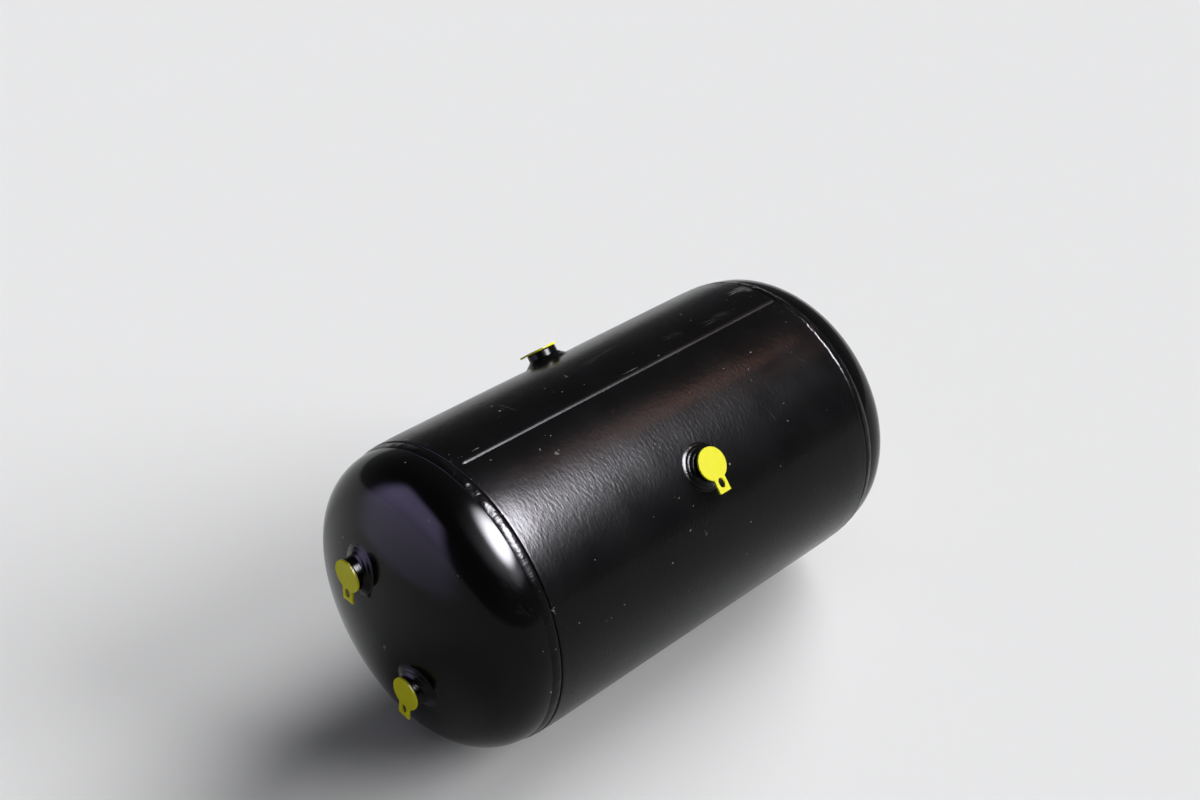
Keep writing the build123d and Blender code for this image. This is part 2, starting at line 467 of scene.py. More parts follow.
# %% Colours, dust, scuffs and painted highlights
PAINT_BLACK = (0.0018, 0.0017, 0.0021, 1.0)
PAINT_DUSTY = (0.0040, 0.0038, 0.0041, 1.0)
PAINT_IOR = 1.20
SPECK_COLOUR = (0.33, 0.32, 0.31, 1.0)
SPECK_SPACING = 0.006
SPECK_SIZE = 0.0011
NICKS = {"spacing": 0.028, "size": 0.0036, "share": 0.6, "torn": 0.54}
NICK_STRENGTH = 0.55
# the pale grey of scuffs, also painted as highlights beside the seam and as a glow under the near head's
# rim
SCUFF_AND_HIGHLIGHT_COLOUR = (0.30, 0.29, 0.29, 1.0)
SCUFF_AND_HIGHLIGHT_ROUGHNESS = 0.5

# place along the tank, angle in degrees, half length, half width, turn in degrees, amount
# on the shell: the first two lines are pale lines painted beside the seam as painted highlights, the rest
# are scuffs
SHELL_SCUFFS_AND_PAINTED_HIGHLIGHTS = {
    "painted highlight beside the seam, near its start": (-0.187, 85.6, 0.006, 0.0009, 0.0, 1.0),
    "painted highlight beside the seam, at mid-length": (0.006, 84.7, 0.017, 0.0009, 0.0, 0.7),
    "scratches behind the seam": (0.142, 88.6, 0.026, 0.0075, 2.0, 0.15),
    "rubbed line on the top": (0.008, 101.0, 0.036, 0.0055, -6.0, 0.12),
    "rubbed spot behind the seam": (0.085, 91.0, 0.016, 0.0070, 15.0, 0.10),
    "bow on the top": (-0.120, 98.0, 0.018, 0.0030, 84.0, 0.10),
    "rubbed far end": (0.203, 98.0, 0.018, 0.0080, 8.0, 1.0),
    "rubbed far end, across": (0.208, 96.5, 0.012, 0.0060, 50.0, 1.0),
    "upright scratch": (0.104, 44.0, 0.014, 0.0014, 74.0, 0.10),
}
# faint pale streaks under the near head's rim: a painted glow of the highlight's lower tail
HEAD_PAINTED_GLOW = {
    "painted glow under the rim": (-0.242, 37.0, 0.014, 0.0100, 70.0, 0.05),
    "painted glow lower down": (-0.240, 27.0, 0.012, 0.0080, 60.0, 0.04),
}
print("scuffs_and_highlights", len(SHELL_SCUFFS_AND_PAINTED_HIGHLIGHTS), "on the shell,", len(HEAD_PAINTED_GLOW), "on the near head")

# %% Materials: black paint on the sheet, the heads, the welds and the necks
# the sockets of a Mix node that are for colours
MIX_FACTOR, MIX_FIRST, MIX_SECOND, MIX_RESULT = 0, 6, 7, 2
# the range in which most of a noise lies
NOISE_LOW, NOISE_HIGH = 0.3, 0.7


def mixed(tree, factor, first, second):
    """A colour between two colours or sockets."""
    made = node(tree, "ShaderNodeMix", {"data_type": "RGBA"})
    feed(tree, made.inputs[MIX_FACTOR], factor)
    feed(tree, made.inputs[MIX_FIRST], first)
    feed(tree, made.inputs[MIX_SECOND], second)
    return made.outputs[MIX_RESULT]


def new_material(name):
    """A material with only its Principled shader, its tree and that shader's inputs."""
    material = bpy.data.materials.new(name)
    material.use_nodes = True
    tree = material.node_tree
    return material, tree, tree.nodes["Principled BSDF"].inputs


def bump(tree, shader, height):
    """Bumps the surface of a shader by a height in metres."""
    made = node(tree, "ShaderNodeBump", Strength=1.0, Distance=1.0, Height=height)
    feed(tree, shader["Normal"], made.outputs[0])


def group_node(tree, group, **inputs):
    """A node group placed in a tree with its own values."""
    made = node(tree, "ShaderNodeGroup", {"node_tree": group})
    for name, value in inputs.items():
        feed(tree, made.inputs[name.replace("_", " ").title()], value)
    return made.outputs


def scuff_and_highlight_mask(tree, scuffs_and_highlights):
    """The masks of some scuffs and painted highlights, one over the other."""
    masks = []
    for along, angle, half_length, half_width, turn, amount in scuffs_and_highlights.values():
        scuff_and_highlight = group_node(tree, SCUFF_AND_HIGHLIGHT_GROUP, along=along, angle=radians(angle), half_length=half_length,
                           half_width=half_width, turn=radians(turn), amount=amount)
        masks.append(scuff_and_highlight["Mask"])
    return largest(tree, *masks)


def paint_material(name, roughness, mottle, specks, scuffs_and_highlights=None, **skin):
    """Black paint with a roughness, a spread of it, a share of dusty cells, scuffs and painted highlights,
    and its own skin.
    """
    material, tree, shader = new_material(name)
    surface = group_node(tree, PAINT_SKIN, **skin)
    dust = group_node(tree, SPECKS, spacing=SPECK_SPACING, size=SPECK_SIZE, share=specks)["Mask"]
    nicks = times(tree, group_node(tree, SPECKS, **NICKS)["Mask"], NICK_STRENGTH)
    colour = mixed(tree, surface["Mottle"], PAINT_BLACK, PAINT_DUSTY)
    colour = mixed(tree, largest(tree, dust, nicks), colour, SPECK_COLOUR)
    gloss = ramp(tree, surface["Mottle"], NOISE_LOW, NOISE_HIGH, roughness - mottle, roughness + mottle)
    if scuffs_and_highlights:
        mask = scuff_and_highlight_mask(tree, scuffs_and_highlights)
        # paints pale grey scuffs, and the painted highlights and painted glow where those patches lie
        colour = mixed(tree, mask, colour, SCUFF_AND_HIGHLIGHT_COLOUR)
        gloss = largest(tree, gloss, times(tree, mask, SCUFF_AND_HIGHLIGHT_ROUGHNESS))
    feed(tree, shader["Base Color"], colour)
    feed(tree, shader["Roughness"], gloss)
    shader["IOR"].default_value = PAINT_IOR
    bump(tree, shader, surface["Height"])
    return material


SHEET_PAINT = paint_material(
    "sheet_paint", roughness=0.23, mottle=0.02, specks=0.08, scuffs_and_highlights=SHELL_SCUFFS_AND_PAINTED_HIGHLIGHTS, peel_size=0.004,
    peel_depth=0.00002, streak_width=0.0028, streak_length=0.0065, streak_depth=0.00021
)
HEAD_PAINT = paint_material(
    "head_paint", roughness=0.14, mottle=0.02, specks=0.05, scuffs_and_highlights=HEAD_PAINTED_GLOW, peel_size=0.005,
    peel_depth=0.000012
)
BEAD_SKIN = {"mottle": 0.04, "specks": 0.08, "peel_size": 0.0012, "peel_depth": 0.00002}
WELD_PAINT = paint_material("weld_paint", roughness=0.20, **BEAD_SKIN)
SEAM_PAINT = paint_material("seam_paint", roughness=0.32, **BEAD_SKIN)
NECK_PAINT = paint_material(
    "neck_paint", roughness=0.15, mottle=0.03, specks=0.05, peel_size=0.002, peel_depth=0.00001
)
print("paints", [m.name for m in (SHEET_PAINT, HEAD_PAINT, WELD_PAINT, SEAM_PAINT, NECK_PAINT)])

# %% [markdown]
# ## Where the ports are
# Two necks stand on the shell, a quarter turn apart, and two on each head. On the shell a neck points
# straight out. On a head it is parallel to the tank's axis. Each gets a small frame of its own: z points
# out of the tank and x the way the cap's tab hangs. The last function gives the height of the wall under
# any spot of that frame, because the beads have to follow it. Welding has pulled the wall in round each
# neck, and that counts too.

# %% Port frames
SIDE_PORT_ANGLE = radians(39.2)
TOP_PORT_ANGLE = SIDE_PORT_ANGLE + QUARTER
HEAD_PORT_ANGLE = radians(128.5)
HEAD_PORT_ANGLES = {"upper": HEAD_PORT_ANGLE, "lower": HEAD_PORT_ANGLE + pi}
HEAD_PORT_RADIUS = 0.060
PORT_PULL = 0.0007
PORT_REACH = 0.034

# how far each tab on a head has swung from its way down, in degrees
TAB_SWINGS = {"near_upper_port": 3.0, "near_lower_port": 9.0, "far_upper_port": -6.0, "far_lower_port": 4.0}


def hump(distance, reach):
    """A smooth hump that is 1 at no distance and fades out over a reach."""
    return np.exp(-((distance / reach) ** 2))


def port_frame(origin, out, hang):
    """A matrix that carries z to the way out and x to the way the tab hangs."""
    sideways = out.cross(hang)
    columns = Matrix((hang, sideways, out)).transposed().to_4x4()
    return Matrix.Translation(origin) @ columns


def shell_port(angle, tab_way):
    """A port on the shell, at mid-length."""
    place = outward(angle) * RADIUS + Vector((0.0, 0.0, AXIS_HEIGHT))
    return port_frame(place, outward(angle), outward(angle + QUARTER) * tab_way)


def head_port(end, angle, swing):
    """A port on the head at one end, whose tab has swung a little from its way down."""
    rise = CROWN_CENTRE + sqrt(HEAD_CROWN**2 - HEAD_PORT_RADIUS**2)
    place = outward(angle) * HEAD_PORT_RADIUS + Vector((end * rise, 0.0, AXIS_HEIGHT))
    hang = Vector((0.0, sin(swing), -cos(swing)))
    return port_frame(place, Vector((end, 0.0, 0.0)), hang)


PORTS = {"side_port": shell_port(SIDE_PORT_ANGLE, -1), "top_port": shell_port(TOP_PORT_ANGLE, 1)}
SHELL_PORTS = list(PORTS)
for side, end in ENDS.items():
    for level, angle in HEAD_PORT_ANGLES.items():
        port = f"{side}_{level}_port"
        PORTS[port] = head_port(end, angle, radians(TAB_SWINGS[port]))


def wall_height(place, x, y):
    """How high the tank's wall is over a port's own plane, at spots of that plane."""
    pull = PORT_PULL * hump(np.hypot(x, y), PORT_REACH)
    if abs(place.translation.x) < SHELL_END:
        return np.sqrt(RADIUS**2 - x**2) - RADIUS - pull
    hang = place.col[0].to_3d()
    sideways = place.col[1].to_3d()
    across = place.translation.y + x * hang.y + y * sideways.y
    up = place.translation.z - AXIS_HEIGHT + x * hang.z + y * sideways.z
    rise = CROWN_CENTRE + np.sqrt(HEAD_CROWN**2 - across**2 - up**2)
    return rise - abs(place.translation.x) - pull


print("ports", {name: [round(c, 4) for c in place.translation] for name, place in PORTS.items()})

# %% [markdown]
# ## The rolled shell
# A plain cylinder would give one clean highlight from end to end. The real sheet isn't that even: welding
# pulls it in a little at both ends, along the seam and round the necks, and so the highlight swells and
# breaks there. The shell is therefore a grid of about 3 mm, moved in by a fraction of a millimetre at those
# places. Its edges are rounded, because the bright line beside each end weld is the sheet's edge.

# %% The shell's sheet
SHEET_ROWS = 150
SHEET_COLUMNS = 320
EDGE_ROUND = 0.0011
EDGE_STEPS = 5
SEAM_PULL = 0.00035
SEAM_REACH = 0.016
END_PULL = 0.0006
END_REACH = 0.014


def seam_distance(angle):
    """How far round the shell a spot is from the seam."""
    turn = (angle - SEAM_ANGLE + pi) % (2 * pi) - pi
    return np.abs(turn) * RADIUS


def port_distance(points, names):
    """How far points are from the nearest of some ports."""
    places = [np.array(PORTS[name].translation) for name in names]
    return np.min([np.linalg.norm(points - place, axis=-1) for place in places], axis=0)


def sheet_section():
    """The sheet's closed outline: along the outside, round the edge, and back along the inside."""
    flat = np.linspace(EDGE_ROUND - SHELL_END, SHELL_END - EDGE_ROUND, SHEET_ROWS)
    turn = np.linspace(0.0, QUARTER, EDGE_STEPS + 1)[1:]
    edge_x = SHELL_END - EDGE_ROUND + EDGE_ROUND * np.sin(turn)
    edge_radius = RADIUS - EDGE_ROUND + EDGE_ROUND * np.cos(turn)
    inside = np.linspace(SHELL_END, -SHELL_END, EDGE_STEPS + 1)
    outer_radius = np.full(SHEET_ROWS, RADIUS)
    inner_radius = np.full(EDGE_STEPS + 1, SKIRT)
    x = np.concatenate([flat, edge_x, inside, -edge_x[::-1]])
    return x, np.concatenate([outer_radius, edge_radius, inner_radius, edge_radius[::-1]])


def sheet_points():
    """The sheet's grid, pulled in by the welds."""
    x, radius = sheet_section()
    x, angle = np.meshgrid(x, full_turn(SHEET_COLUMNS, SEAM_ANGLE), indexing="ij")
    points = round_tank(x, radius[:, None], angle)
    pull = SEAM_PULL * hump(seam_distance(angle), SEAM_REACH)
    pull += END_PULL * hump(SHELL_END - np.abs(x), END_REACH)
    pull += PORT_PULL * hump(port_distance(points, SHELL_PORTS), PORT_REACH)
    return round_tank(x, radius[:, None] - pull, angle)


shell_points = sheet_points()
shell_mesh = grid_mesh("rolled_shell", shell_points, wrap_rows=True)
finish_piece("rolled_shell", shell_mesh, SHEET_PAINT, PAINT_SLOT, "shell")

# %% [markdown]
# ## The dished heads
# A head is pressed from a flat round of steel. Its middle is part of a large sphere, and a tight ring, the
# knuckle, turns it into a short straight skirt that slips into the shell. Its outline is three formulas, an
# arc, an arc and a line, and turning that outline round the axis makes the head, with a wall of its real
# thickness.

# %% The heads
HEAD_COLUMNS = 288
CROWN_STEPS = 44
KNUCKLE_STEPS = 34
SKIRT_STEPS = 3


def dish_line(inset):
    """A head's outline from its middle to its skirt's end, some way in from the outside."""
    crown = HEAD_CROWN - inset
    knuckle = HEAD_KNUCKLE - inset
    turn = asin((SKIRT - HEAD_KNUCKLE) / (HEAD_CROWN - HEAD_KNUCKLE))
    wide = np.linspace(0.0, turn, CROWN_STEPS)
    tight = np.linspace(turn, QUARTER, KNUCKLE_STEPS)[1:]
    straight = np.linspace(TANGENT_X, HEAD_START, SKIRT_STEPS + 1)[1:]
    x = np.concatenate([CROWN_CENTRE + crown * np.cos(wide), TANGENT_X + knuckle * np.cos(tight), straight])
    knuckle_radius = SKIRT - HEAD_KNUCKLE + knuckle * np.sin(tight)
    return x, np.concatenate([crown * np.sin(wide), knuckle_radius, np.full(SKIRT_STEPS, SKIRT - inset)])


def head_mesh(name, end):
    """A head at one end, with the wall pulled in round its necks."""
    outer, inner = dish_line(0.0), dish_line(HEAD_WALL)
    x = np.concatenate([outer[0], inner[0][::-1]])
    radius = np.concatenate([outer[1], inner[1][::-1]])
    points = round_tank(end * x[:, None], radius[:, None], full_turn(HEAD_COLUMNS, SEAM_ANGLE)[None, :])
    names = [port for port, place in PORTS.items() if place.translation.x * end > SHELL_END]
    points[..., 0] -= end * PORT_PULL * hump(port_distance(points, names), PORT_REACH)
    return grid_mesh(name, points)


for side, end in ENDS.items():
    piece_name = f"dished_{side}_head"
    finish_piece(piece_name, head_mesh(piece_name, end), HEAD_PAINT, PAINT_SLOT, f"{side}_head")

# %% [markdown]
# ## Weld beads that follow a path
# A weld freezes in small steps, so its bead has ripples that bow back from the torch, and lumps where the
# hand or the machine slowed down. All the tank's beads share one Geometry Nodes tree. Each bead comes in as
# a smooth closed ring or strip whose points know how far along the bead and how far across it they are, how
# lumpy it is there, and which way is out. The tree moves them out by ripples and lumps.

# %% Geometry Nodes: weld ripples
UNEVEN_SHARE = 0.3
RIPPLE_MIDDLE = 0.6


def named(tree, name, kind):
    """A value that the points of a mesh carry."""
    return node(tree, "GeometryNodeInputNamedAttribute", {"data_type": kind}, Name=name).outputs[0]


def end_tree(tree, given, made, geometry):
    """Ends a Geometry Nodes tree: its instances become real and its material is set."""
    real = node(tree, "GeometryNodeRealizeInstances", Geometry=geometry).outputs[0]
    painted = node(tree, "GeometryNodeSetMaterial", Geometry=real, Material=given["Material"])
    feed(tree, made["Geometry"], painted.outputs[0])


def weld_ripples_tree():
    """Moves a bead's points out by ripples and lumps."""
    tree, given, made = new_group(
        "weld ripples",
        "GeometryNodeTree",
        {
            "Geometry": GEOMETRY,
            "Ripple Pitch": 0.002,
            "Ripple Height": 0.0002,
            "Ripple Bow": 0.001,
            "Lump Size": 0.01,
            "Lump Height": 0.0003,
            "Seed": 0.0,
            "Material": MATERIAL,
        },
        {"Geometry": GEOMETRY},
    )
    across = named(tree, "across", "FLOAT")
    spot = node(tree, "GeometryNodeInputPosition").outputs[0]
    across_squared = times(tree, across, across)
    fade = calc(tree, "SUBTRACT", 1.0, across_squared)
    bowed = calc(tree, "MULTIPLY_ADD", across_squared, given["Ripple Bow"], named(tree, "along", "FLOAT"))
    uneven_scale = divided(tree, UNEVEN_SHARE, given["Ripple Pitch"])
    uneven = noise(tree, spot, uneven_scale, seed=given["Seed"])
    bowed = calc(tree, "MULTIPLY_ADD", uneven, given["Ripple Pitch"], bowed)
    turns = times(tree, divided(tree, bowed, given["Ripple Pitch"]), pi)
    ripple = calc(tree, "SUBTRACT", calc(tree, "ABSOLUTE", calc(tree, "SINE", turns)), RIPPLE_MIDDLE)
    ripple = times(tree, ripple, given["Ripple Height"])
    lump_scale = divided(tree, 1.0, given["Lump Size"])
    lumps = noise(tree, spot, lump_scale, detail=3.0, roughness=0.55, seed=given["Seed"])
    lumps = calc(tree, "SUBTRACT", lumps, NOISE_MIDDLE)
    lumps = times(tree, lumps, given["Lump Height"], named(tree, "rough", "FLOAT"))
    rise = times(tree, calc(tree, "ADD", ripple, lumps), fade)
    out = named(tree, "out", "FLOAT_VECTOR")
    move = node(tree, "ShaderNodeVectorMath", {"operation": "SCALE"}, Vector=out, Scale=rise)
    moved = node(tree, "GeometryNodeSetPosition", Geometry=given["Geometry"], Offset=move.outputs[0])
    end_tree(tree, given, made, moved.outputs[0])
    return tree


WELD_RIPPLES = counted(weld_ripples_tree())

# %% A bead's mesh and its piece


def bead_mesh(name, points, along, across, rough, out, closed=True):
    """A bead's grid of points, with what its points know."""
    shape = points.shape[:2]
    return grid_mesh(
        name,
        points,
        wrap_rows=closed,
        along=np.broadcast_to(along, shape),
        across=np.broadcast_to(across, shape),
        rough=np.broadcast_to(rough, shape),
        out=np.broadcast_to(out, points.shape),
    )


def finish_bead(name, mesh, paint, weld, place=Matrix(), **ripples):
    """Gives a bead its ripples, sets it in its place and makes it the piece that stands for a weld."""
    bead = grow(mesh, WELD_RIPPLES, material=paint, **ripples)
    bead.transform(place)
    finish_piece(name, bead, paint, PAINT_SLOT, weld)


# %% [markdown]
# ## The welds between the shell and the heads
# Each end has one ring of weld in the step between the sheet's edge and the head. Beside the edge a dark
# groove is left, then the bead rises to a round crest and ends in a sharp toe on the head. Under that it
# goes down into the step. It is lumpiest where the ring starts and stops, near the seam, and more so at the
# far end.

# %% The girth beads
GIRTH_STEPS = 1600
GIRTH_CREST_STEPS = 25
GIRTH_UNDER_STRIDE = 5
GIRTH_WIDTH = 0.0110
GROOVE_SHARE = 0.18
GROOVE_RISE = 0.0008
SHOULDER_RISES = {"near": 0.0016, "far": 0.0019}
CREST_BULGE = 0.0007
GIRTH_SINK = 0.0008
ROUGH_REACH = 0.08
ROUGH_GAINS = {"near": 1.8, "far": 3.6}
GIRTH_SEEDS = {"near": 1.0, "far": 2.0}
GIRTH_RIPPLES = dict(ripple_pitch=0.0031, ripple_height=0.00003, ripple_bow=0.003)
GIRTH_LUMPS = dict(lump_size=0.015, lump_height=0.0013)


def girth_section(shoulder):
    """The bead's line from the sheet's edge to its toe, and how far across the bead each point is."""
    share = np.linspace(0.0, 1.0, GIRTH_CREST_STEPS)
    x = SHELL_END - EDGE_ROUND / 2 + GIRTH_WIDTH * share
    crest = (share - GROOVE_SHARE) / (1.0 - GROOVE_SHARE)
    groove = GROOVE_RISE + (shoulder - GROOVE_RISE) * share / GROOVE_SHARE
    bead = shoulder * (1.0 - crest) + CREST_BULGE * 4.0 * crest * (1.0 - crest)
    return np.stack([x, SKIRT + np.where(crest < 0.0, groove, bead)], axis=-1), 2.0 * share - 1.0


def girth_mesh(name, end, side):
    """The ring of weld at one end."""
    section, across = girth_section(SHOULDER_RISES[side])
    under = section[::-1][1:-1:GIRTH_UNDER_STRIDE] * (1.0, 0.0) + (0.0, SKIRT - GIRTH_SINK)
    section = np.vstack([section, under])
    across = np.concatenate([across, np.ones(len(under))])
    angle = full_turn(GIRTH_STEPS)[:, None]
    points = round_tank(end * section[None, :, 0], section[None, :, 1], angle)
    out = round_tank(0.0, 1.0, angle) - (0.0, 0.0, AXIS_HEIGHT)
    rough = 1.0 + ROUGH_GAINS[side] * hump(seam_distance(angle), ROUGH_REACH)
    return bead_mesh(name, points, angle * RADIUS, across, rough, out)


for side, end in ENDS.items():
    piece_name = f"{side}_girth_bead"
    mesh, weld = girth_mesh(piece_name, end, side), f"{side}_girth_weld"
    finish_bead(piece_name, mesh, WELD_PAINT, weld, seed=GIRTH_SEEDS[side], **GIRTH_RIPPLES, **GIRTH_LUMPS)

# %% [markdown]
# ## The long seam
# The seam is welded by a machine, so its bead is thin and even. It starts a little way in from the near end
# and runs up to the weld at the far end. Its section is a low roof with a rounded ridge: the flat front
# side of that roof is what catches the light as one bright line. The strip sinks to nothing at its ends.

# %% The seam bead
SEAM_STEPS = 900
SEAM_ARCH_STEPS = 17
SEAM_UNDER_STRIDE = 2
SEAM_WIDTH = 0.0054
SEAM_HEIGHT = 0.0011
SEAM_TOP_ROUND = 0.35
SEAM_NEAR_STOP = 0.006
SEAM_FAR_STOP = 0.001
SEAM_TAPER = 0.004
SEAM_SINK = 0.0008
SEAM_RIPPLES = dict(ripple_pitch=0.0021, ripple_height=0.00001, ripple_bow=0.0012)
SEAM_LUMPS = dict(lump_size=0.02, lump_height=0.0004)
SEAM_SEED = 5.0


def seam_mesh(name):
    """The strip of weld along the shell."""
    start, stop = SEAM_NEAR_STOP - SHELL_END, SHELL_END - SEAM_FAR_STOP
    along = np.linspace(start, stop, SEAM_STEPS)[:, None]
    fade = np.sqrt(np.clip(np.minimum(along - start, stop - along) / SEAM_TAPER, 0.0, 1.0))
    across = np.linspace(-1.0, 1.0, SEAM_ARCH_STEPS)
    closed = np.concatenate([across, across[::-1][1:-1:SEAM_UNDER_STRIDE]])
    upper = np.arange(len(closed)) < SEAM_ARCH_STEPS
    roof = np.hypot(1.0, SEAM_TOP_ROUND) - np.hypot(closed, SEAM_TOP_ROUND)
    roof /= np.hypot(1.0, SEAM_TOP_ROUND) - SEAM_TOP_ROUND
    depth = np.where(upper, SEAM_HEIGHT * roof, -SEAM_SINK)
    ground = RADIUS - SEAM_PULL * hump(0.0, SEAM_REACH)
    angle = SEAM_ANGLE + fade * closed * SEAM_WIDTH / 2 / RADIUS
    points = round_tank(along, ground + fade * depth - (1.0 - fade) * SEAM_SINK, angle)
    out = np.array(outward(SEAM_ANGLE))
    return bead_mesh(name, points, along, np.where(upper, closed, 1.0), 1.0, out, closed=False)


strip = seam_mesh("seam_bead")
finish_bead("seam_bead", strip, SEAM_PAINT, "seam_weld", seed=SEAM_SEED, **SEAM_RIPPLES, **SEAM_LUMPS)

# %% [markdown]
# ## Necks, their welds and their caps
# A neck is turned from bar, so it is a lathe shape: a bore with a lead for the thread, a chamfered rim and
# faint tool marks round its side. The weld round its foot leans against it and runs out on the wall, and it
# has to follow the wall's own curve, so each point of its toe asks for the wall's height.

# %% The turned necks
NECK_RADIUS = 0.0155
NECK_HEIGHT = 0.012
NECK_DEPTH = 0.008
NECK_CHAMFER = 0.001
BORE_RADIUS = 0.0102
BORE_LEAD = 0.0013
NECK_COLUMNS = 96
TOOL_PITCH = 0.0009
TOOL_DEPTH = 0.00005
TOOL_STEPS = 4
SHARP_ANGLE = radians(30.0)


def turned(name, section):
    """A closed ring turned from an outline of distances from the axis and heights."""
    radius, height = np.array(section).T[:, :, None]
    angle = full_turn(NECK_COLUMNS)
    points = np.broadcast_arrays(np.cos(angle) * radius, np.sin(angle) * radius, height)
    return grid_mesh(name, np.stack(points, axis=-1), wrap_rows=True)


def neck_mesh(name):
    """A neck with tool marks, standing on its own plane."""
    side = np.arange(0.0, NECK_HEIGHT - NECK_CHAMFER, TOOL_PITCH / TOOL_STEPS)
    marks = NECK_RADIUS - TOOL_DEPTH * np.abs(np.sin(pi * side / TOOL_PITCH))
    foot = [(BORE_RADIUS, NECK_HEIGHT - BORE_LEAD), (BORE_RADIUS, -NECK_DEPTH), (NECK_RADIUS, -NECK_DEPTH)]
    rim = [
        (NECK_RADIUS, NECK_HEIGHT - NECK_CHAMFER),
        (NECK_RADIUS - NECK_CHAMFER, NECK_HEIGHT),
        (BORE_RADIUS + BORE_LEAD, NECK_HEIGHT),
    ]
    return turned(name, foot + list(zip(marks, side)) + rim)


for port, place in PORTS.items():
    neck = neck_mesh(f"{port}_neck")
    neck.transform(place)
    made = finish_piece(f"{port}_neck", neck, NECK_PAINT, PAINT_SLOT, f"{port}_boss")
    made.data.set_sharp_from_angle(angle=SHARP_ANGLE)

# %% [markdown]
# The weld at a neck's foot is laid in three passes, each a ring of its own, so the fillet has three low
# ridges that run round the neck. It is steep at the neck and runs out flat on the wall.

# %% The beads round the necks
PORT_BEAD_STEPS = 360
PORT_BEAD_ARCH_STEPS = 31
PORT_BEAD_UNDER_STRIDE = 5
PORT_BEAD_HEIGHT = 0.0060
PORT_BEAD_WIDTH = 0.0090
PORT_BEAD_FLARE = 1.5
PORT_BEAD_PASSES = 3
PORT_BEAD_RIDGE = 0.00032
PORT_BEAD_TOE = 0.0002
PORT_BEAD_SINK = 0.0012
PORT_RIPPLES = dict(ripple_pitch=0.0017, ripple_height=0.00006, ripple_bow=0.0014)
PORT_LUMPS = dict(lump_size=0.007, lump_height=0.0008)
PORT_FIRST_SEED = 10.0


def port_bead_mesh(name, place):
    """The fillet of weld round one neck, in the neck's own frame."""
    angle = full_turn(PORT_BEAD_STEPS)[:, None]
    share = np.linspace(0.0, 1.0, PORT_BEAD_ARCH_STEPS)
    below = share[::-1][1:-1:PORT_BEAD_UNDER_STRIDE]
    reach = NECK_RADIUS + PORT_BEAD_WIDTH * np.concatenate([share, below])
    x, y = np.cos(angle) * reach, np.sin(angle) * reach
    ridges = PORT_BEAD_RIDGE * np.abs(np.sin(pi * PORT_BEAD_PASSES * share))
    fillet = PORT_BEAD_HEIGHT * (1.0 - share) ** PORT_BEAD_FLARE + ridges - PORT_BEAD_TOE * share
    over_wall = np.concatenate([fillet, np.full(len(below), -PORT_BEAD_SINK)])
    points = np.stack([x, y, wall_height(place, x, y) + over_wall], axis=-1)
    slant = np.hypot(PORT_BEAD_HEIGHT, PORT_BEAD_WIDTH)
    sideways, upwards = PORT_BEAD_HEIGHT / slant, np.full_like(angle, PORT_BEAD_WIDTH / slant)
    out = np.stack([np.cos(angle) * sideways, np.sin(angle) * sideways, upwards], axis=-1)
    across = np.concatenate([2.0 * share - 1.0, np.ones(len(below))])
    return bead_mesh(name, points, angle * (NECK_RADIUS + PORT_BEAD_WIDTH / 2), across, 1.0, out)


for number, (port, place) in enumerate(PORTS.items()):
    piece_name, seed = f"{port}_bead", PORT_FIRST_SEED + number
    mesh, weld = port_bead_mesh(piece_name, place), f"{port}_weld"
    finish_bead(piece_name, mesh, WELD_PAINT, weld, place, seed=seed, **PORT_RIPPLES, **PORT_LUMPS)

# %% [markdown]
# The caps are moulded in soft polythene: a flat disc with a tab, an eye in the tab for a string or a hook,
# and a hollow stem that grips the thread. The plate is a flat curve with a hole, given its thickness and
# then small rounded edges by a Bevel modifier. Its colour is a strong lemon yellow all the way through,
# with a faint sheen.

# %% The yellow plastic
PLASTIC_YELLOW = (0.86, 0.83, 0.009, 1.0)
PLASTIC_DEEP = (0.80, 0.75, 0.007, 1.0)
PLASTIC_IOR = 1.20
PLASTIC_SMOOTH, PLASTIC_MATT = 0.32, 0.42
CLOUD_SCALE = 130.0
GRAIN_SCALE = 1500.0
GRAIN_DEPTH = 0.00001


def plastic_material(name):
    """Soft moulded plastic with a slightly uneven colour and a fine matt skin."""
    material, tree, shader = new_material(name)
    spot = node(tree, "ShaderNodeTexCoord").outputs["Object"]
    cloud = noise(tree, spot, CLOUD_SCALE, detail=3.0, seed=2.0)
    grain = noise(tree, spot, GRAIN_SCALE, seed=4.0)
    gloss = ramp(tree, cloud, NOISE_LOW, NOISE_HIGH, PLASTIC_SMOOTH, PLASTIC_MATT)
    feed(tree, shader["Base Color"], mixed(tree, cloud, PLASTIC_YELLOW, PLASTIC_DEEP))
    feed(tree, shader["Roughness"], gloss)
    shader["IOR"].default_value = PLASTIC_IOR
    bump(tree, shader, times(tree, grain, GRAIN_DEPTH))
    return material


CAP_PLASTIC = plastic_material("cap_plastic")
print("plastic", CAP_PLASTIC.name)

# %% The cap's plate
CAP_RADIUS = 0.0165
CAP_THICKNESS = 0.0020
CAP_EDGE = 0.0004
CAP_EDGE_STEPS = 3
TAB_WIDTH = 0.0140
TAB_REACH = 0.0293
EYE_WIDTH = 0.0070
EYE_LENGTH = 0.0100
EYE_MARGIN = 0.0045
DISC_STEPS = 96
EYE_STEPS = 40


